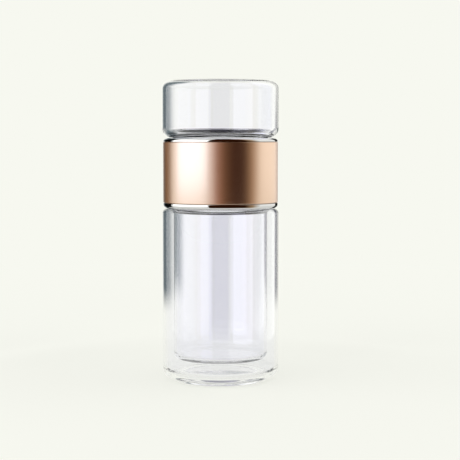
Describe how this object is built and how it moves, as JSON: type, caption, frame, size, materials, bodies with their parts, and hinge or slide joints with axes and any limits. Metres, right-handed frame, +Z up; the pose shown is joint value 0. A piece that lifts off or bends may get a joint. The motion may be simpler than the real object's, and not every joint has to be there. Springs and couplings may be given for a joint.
{
  "type": "tea infuser bottle",
  "caption": "Double-walled glass bottle with a metal-clad screw collar, lift-out steel filter and inverted glass tea chamber that screws on top.",
  "frame": {"origin": "centre of the foot ring, on the surface that the bottle stands on", "axes": "+Z up along the common screw axis; the thread of each glass neck starts at about +X"},
  "size_m": [0.065, 0.065, 0.1675],
  "materials": {
    "borosilicate_glass": "clear, fire-polished",
    "rose_gold_anodised_aluminium": "satin, rose gold",
    "polished_steel": "mirror polished",
    "moulded_polypropylene": "black, satin",
    "black_silicone": "black, matte",
    "stainless_steel": "satin"
  },
  "bodies": {
    "bottle": {"bottle_outer_wall": "borosilicate_glass", "bottle_inner_wall": "borosilicate_glass", "bottle_vent_seal": "borosilicate_glass"},
    "bottle_gasket": {"bottle_gasket": "black_silicone"},
    "collar": {"collar_sleeve": "rose_gold_anodised_aluminium", "lower_trim_ring": "polished_steel", "upper_trim_ring": "polished_steel", "lower_thread_insert": "moulded_polypropylene", "upper_thread_insert": "moulded_polypropylene", "insert_o_ring": "black_silicone"},
    "filter": {"filter_cup": "stainless_steel", "filter_screen": "stainless_steel", "filter_seal": "black_silicone"},
    "chamber_gasket": {"chamber_gasket": "black_silicone"},
    "tea_chamber": {"tea_chamber_glass": "borosilicate_glass"}
  },
  "joints": [
    {"name": "collar_lift", "type": "slide", "parent": "bottle", "child": "bottle_gasket", "axis": [0, 0, 1], "range_m": [0, 0.0101]},
    {"name": "collar_turn", "type": "hinge", "parent": "bottle_gasket", "child": "collar", "pos_m": [0, 0, 0.0967], "axis": [0, 0, 1], "range_deg": [0, 900]},
    {"name": "filter_lift", "type": "slide", "parent": "collar", "child": "filter", "axis": [0, 0, 1], "range_m": [0, 0.025]},
    {"name": "chamber_lift", "type": "slide", "parent": "collar", "child": "chamber_gasket", "axis": [0, 0, 1], "range_m": [0, 0.0101]},
    {"name": "chamber_turn", "type": "hinge", "parent": "chamber_gasket", "child": "tea_chamber", "pos_m": [0, 0, 0.136], "axis": [0, 0, 1], "range_deg": [0, 900]}
  ],
  "couplings": [
    {"joint": "collar_lift", "follows": "collar_turn", "m_per_rad": 0.00063662},
    {"joint": "chamber_lift", "follows": "chamber_turn", "m_per_rad": 0.00063662}
  ]
}
